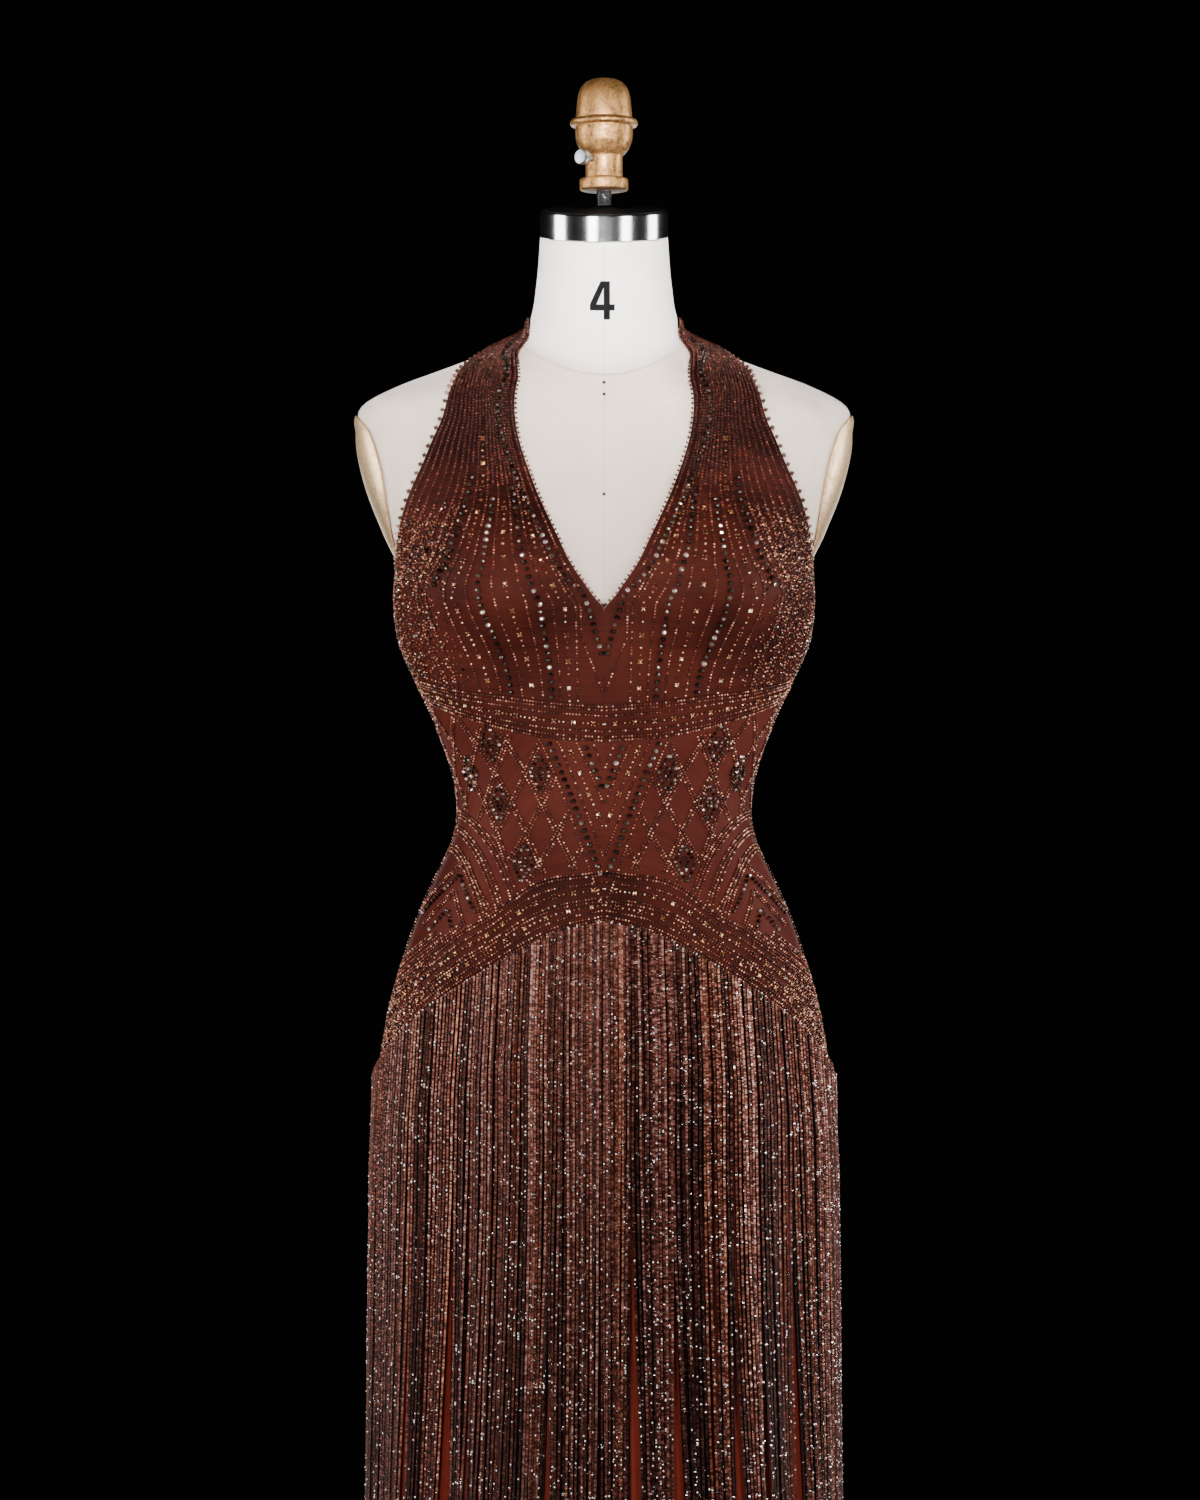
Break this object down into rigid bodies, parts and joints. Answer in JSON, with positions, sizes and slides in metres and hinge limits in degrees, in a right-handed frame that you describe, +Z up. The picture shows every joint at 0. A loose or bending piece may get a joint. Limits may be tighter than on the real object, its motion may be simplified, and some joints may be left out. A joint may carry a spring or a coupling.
{
  "type": "mermaid evening gown on a limbless dress form with its stand",
  "caption": "Halter evening gown with a beaded bodice, shaped hip band and long bead fringe over a flared mermaid skirt, worn on a dress form with a round base.",
  "frame": {"origin": "on the floor, at the centre of the base's underside", "axes": "+Z up; the front of the gown faces -Y; +X is the gown's own left side"},
  "size_m": [0.6409, 0.6702, 1.6638],
  "materials": {
    "satin": "beaded copper silk satin",
    "fringe": "strung glass beads, copper lustre",
    "linen": "pale linen stretched smooth over the form",
    "steel": "brushed",
    "gilt": "mottled gold paint on cast metal",
    "iron": "black paint"
  },
  "bodies": {
    "gown_and_form": {"bust_left": "satin", "bust_right": "satin", "neck_band": "satin", "neck_button": "satin", "underbust_band": "satin", "midriff_front": "satin", "hip_band_front": "satin", "back_left": "satin", "back_right": "satin", "zip_tape": "satin", "zip_slider": "gilt", "underskirt_front": "satin", "underskirt_back": "satin", "fringe_front": "fringe", "fringe_back": "fringe", "form_body": "linen", "neck_cap": "steel", "neck_rod": "steel", "finial": "gilt", "arm_plate_left": "gilt", "arm_plate_right": "gilt", "form_flange": "iron", "pole": "steel", "pole_socket": "iron", "base": "iron"},
    "zip_pull_tab": {"zip_pull": "gilt"},
    "lock_screw": {"thumb_screw": "steel"}
  },
  "joints": [
    {"name": "zip_pull_flip", "type": "hinge", "parent": "gown_and_form", "child": "zip_pull_tab", "pos_m": [0, 0.09928, 1.12073], "axis": [1, 0, 0], "range_deg": [0, 170]},
    {"name": "thumb_screw_turn", "type": "hinge", "parent": "gown_and_form", "child": "lock_screw", "pos_m": [-0.0099, -0.023, 1.5997], "axis": [-0.6691, -0.7431, 0], "range_deg": [0, 360]}
  ]
}
